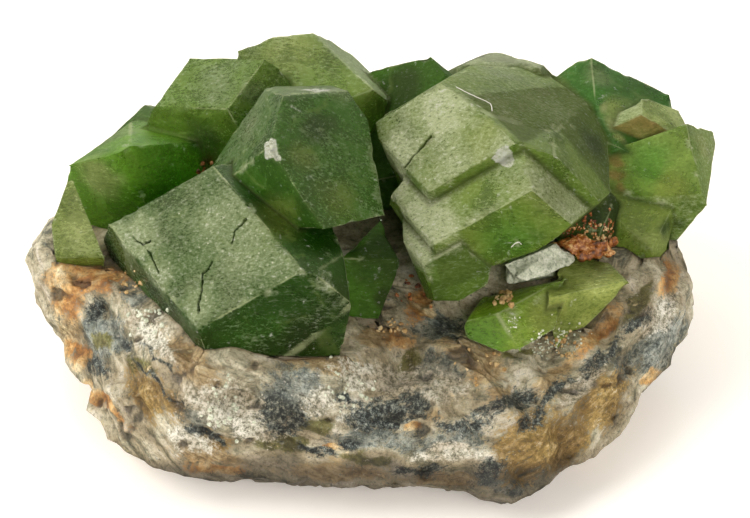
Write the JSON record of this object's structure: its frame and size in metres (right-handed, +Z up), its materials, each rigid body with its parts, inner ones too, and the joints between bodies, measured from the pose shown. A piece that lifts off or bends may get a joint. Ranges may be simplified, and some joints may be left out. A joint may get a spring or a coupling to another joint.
{
  "type": "demantoid garnet specimen",
  "caption": "Mineral specimen: green demantoid garnet crystals with flat rhombic faces grown over a lump of banded rock, resting on its flat underside.",
  "frame": {"origin": "middle of the specimen's footprint, on the surface it rests on", "axes": "+X along the long side, towards the end with the yellower crystals; -Y towards the bare rock front; +Z up, crystals uppermost"},
  "size_m": [0.0392, 0.029, 0.0184],
  "materials": {
    "demantoid_green": "glossy",
    "demantoid_yellow_green": "glossy",
    "speckled_calcite": "matte",
    "limonite": "matte",
    "banded_rock": "matte"
  },
  "bodies": {
    "root": {"garnet_cluster": "demantoid_green", "garnet_front_pair": "demantoid_yellow_green", "garnet_left_small": "demantoid_green", "calcite_patch": "speckled_calcite", "limonite_crust": "limonite", "matrix_rock": "banded_rock"}
  },
  "joints": []
}
